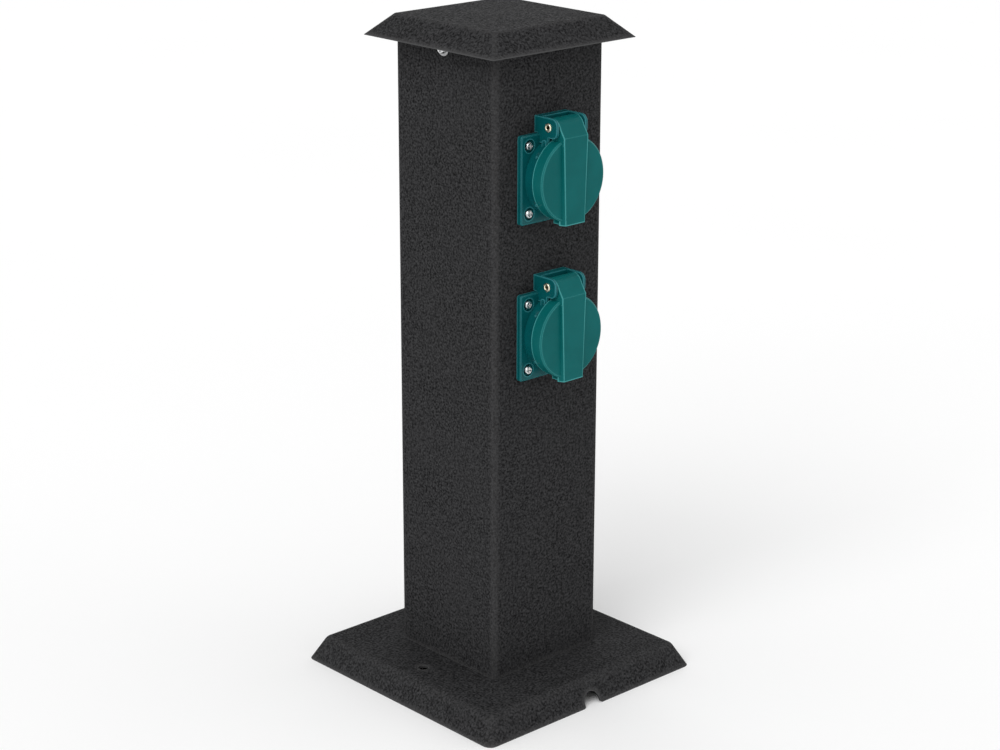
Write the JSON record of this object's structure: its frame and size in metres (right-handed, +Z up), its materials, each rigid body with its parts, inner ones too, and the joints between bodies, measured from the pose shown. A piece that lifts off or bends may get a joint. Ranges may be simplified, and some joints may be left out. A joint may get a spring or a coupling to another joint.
{
  "type": "garden socket post",
  "caption": "Square sheet steel post on a pan shaped foot under a hat shaped cap, with earthed outdoor sockets with sprung lids on one face.",
  "frame": {"origin": "centre of the foot's square on the ground", "axes": "+Z up along the column; the sockets face -Y; +X to the right in a front view"},
  "size_m": [0.164, 0.164, 0.393],
  "materials": {
    "black_coat": "fine textured powder coat, matt",
    "green_plastic": "moulded polypropylene, satin",
    "zinc": "bright zinc plate",
    "galvanised": "galvanised sheet",
    "brass": "plain",
    "spring_steel": "drawn wire",
    "black_rubber": "matt",
    "grey_plastic": "moulded",
    "brown_wire": "soft insulation",
    "blue_wire": "soft insulation",
    "green_yellow_wire": "soft insulation"
  },
  "bodies": {
    "post": {"base_pan": "black_coat", "cap": "black_coat", "cap_bracket": "galvanised", "cap_screws": "zinc", "cap_washers": "zinc", "column": "black_coat", "earth_bond_wire": "green_yellow_wire", "earth_link_wire": "green_yellow_wire", "earth_nut": "zinc", "earth_ring": "zinc", "earth_stud": "zinc", "earth_washer": "zinc", "foot_nuts": "zinc", "foot_screws": "zinc", "inlet_grommet": "black_rubber", "live_link_wire": "brown_wire", "lower_cover_screws": "zinc", "lower_earth_clip": "zinc", "lower_flange_nuts": "zinc", "lower_flange_screws": "zinc", "lower_gasket": "black_rubber", "lower_hinge_pin": "brass", "lower_housing": "green_plastic", "lower_insert": "green_plastic", "lower_lid_spring": "spring_steel", "lower_line_contacts": "brass", "lower_rear_cover": "grey_plastic", "lower_terminal_screws": "brass", "neutral_link_wire": "blue_wire", "upper_cover_screws": "zinc", "upper_earth_clip": "zinc", "upper_flange_nuts": "zinc", "upper_flange_screws": "zinc", "upper_gasket": "black_rubber", "upper_hinge_pin": "brass", "upper_housing": "green_plastic", "upper_insert": "green_plastic", "upper_lid_spring": "spring_steel", "upper_line_contacts": "brass", "upper_rear_cover": "grey_plastic", "upper_terminal_screws": "brass"},
    "upper_lid_body": {"upper_lid": "green_plastic", "upper_lid_seal": "black_rubber"},
    "lower_lid_body": {"lower_lid": "green_plastic", "lower_lid_seal": "black_rubber"}
  },
  "joints": [
    {"name": "upper_lid_hinge", "type": "hinge", "parent": "post", "child": "upper_lid_body", "pos_m": [0, -0.0519, 0.3387], "axis": [-1, 0, 0], "range_deg": [0, 110], "stiffness_Nm_per_rad": 0.03, "springref_deg": -28.65, "deforming": ["upper_lid_spring"]},
    {"name": "lower_lid_hinge", "type": "hinge", "parent": "post", "child": "lower_lid_body", "pos_m": [0, -0.0519, 0.2487], "axis": [-1, 0, 0], "range_deg": [0, 110], "stiffness_Nm_per_rad": 0.03, "springref_deg": -28.65, "deforming": ["lower_lid_spring"]}
  ]
}
